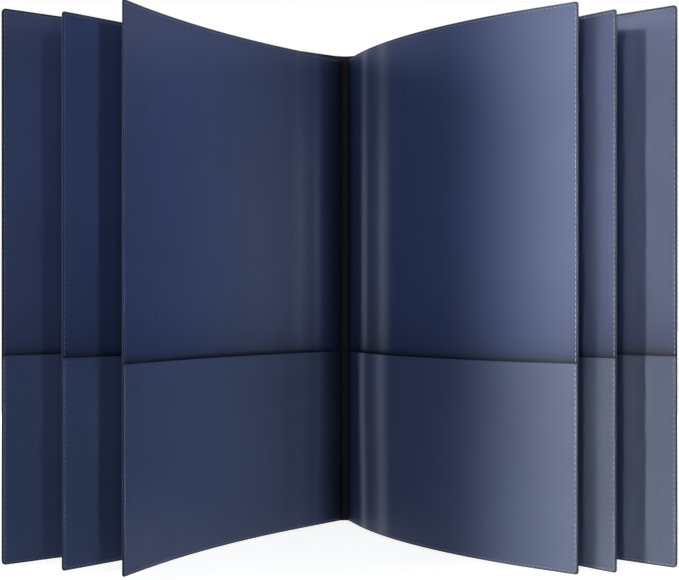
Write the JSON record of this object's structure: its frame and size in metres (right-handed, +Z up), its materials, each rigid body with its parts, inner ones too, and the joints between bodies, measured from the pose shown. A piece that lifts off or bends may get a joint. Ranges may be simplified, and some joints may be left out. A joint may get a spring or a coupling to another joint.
{
  "type": "multi-pocket folder",
  "caption": "Letter-size stationery folder of nested plastic sheets sewn at the spine, standing open, with hinged covers and leaves and a sewn pocket on each shown face.",
  "frame": {"origin": "middle of the spine's foot, on the floor", "axes": "+Z up along the spine, -Y towards the reader, +X to the reader's right"},
  "size_m": [0.3696, 0.2241, 0.306],
  "materials": {
    "cover_sheet": "satin",
    "leaf_sheet": "satin",
    "pocket": "satin",
    "fold": "satin",
    "thread": "twisted thread"
  },
  "bodies": {
    "spine": {"spine_strip": "fold", "outer_sheet_fold": "fold", "inner_sheet_fold": "fold", "inner_spine_thread": "thread", "outer_spine_thread": "thread"},
    "front_cover": {"front_cover_face_sheet": "cover_sheet", "front_cover_back_sheet": "cover_sheet", "front_cover_pocket": "pocket", "front_cover_stitching": "thread", "front_cover_hinge": "cover_sheet"},
    "leaf_1": {"leaf_1_face_sheet": "leaf_sheet", "leaf_1_back_sheet": "leaf_sheet", "leaf_1_pocket": "pocket", "leaf_1_stitching": "thread", "leaf_1_hinge": "leaf_sheet"},
    "leaf_2": {"leaf_2_face_sheet": "leaf_sheet", "leaf_2_back_sheet": "leaf_sheet", "leaf_2_pocket": "pocket", "leaf_2_stitching": "thread", "leaf_2_hinge": "leaf_sheet"},
    "leaf_3": {"leaf_3_face_sheet": "leaf_sheet", "leaf_3_back_sheet": "leaf_sheet", "leaf_3_pocket": "pocket", "leaf_3_stitching": "thread", "leaf_3_hinge": "leaf_sheet"},
    "leaf_4": {"leaf_4_face_sheet": "leaf_sheet", "leaf_4_back_sheet": "leaf_sheet", "leaf_4_pocket": "pocket", "leaf_4_stitching": "thread", "leaf_4_hinge": "leaf_sheet"},
    "back_cover": {"back_cover_face_sheet": "cover_sheet", "back_cover_back_sheet": "cover_sheet", "back_cover_pocket": "pocket", "back_cover_stitching": "thread", "back_cover_hinge": "cover_sheet"}
  },
  "joints": [
    {"name": "front_cover_turn", "type": "hinge", "parent": "spine", "child": "front_cover", "pos_m": [0, -0.00728, 0], "axis": [0, 0, -1], "range_deg": [-35, 29]},
    {"name": "leaf_1_turn", "type": "hinge", "parent": "front_cover", "child": "leaf_1", "pos_m": [0, -0.00728, 0], "axis": [0, 0, 1], "range_deg": [-8, 20]},
    {"name": "leaf_2_turn", "type": "hinge", "parent": "leaf_1", "child": "leaf_2", "pos_m": [0, -0.00728, 0], "axis": [0, 0, 1], "range_deg": [-1, 35]},
    {"name": "back_cover_turn", "type": "hinge", "parent": "spine", "child": "back_cover", "pos_m": [0, -0.00728, 0], "axis": [0, 0, 1], "range_deg": [-31, 32]},
    {"name": "leaf_4_turn", "type": "hinge", "parent": "back_cover", "child": "leaf_4", "pos_m": [0, -0.00728, 0], "axis": [0, 0, -1], "range_deg": [-7, 20]},
    {"name": "leaf_3_turn", "type": "hinge", "parent": "leaf_4", "child": "leaf_3", "pos_m": [0, -0.00728, 0], "axis": [0, 0, -1], "range_deg": [-2, 35]}
  ]
}
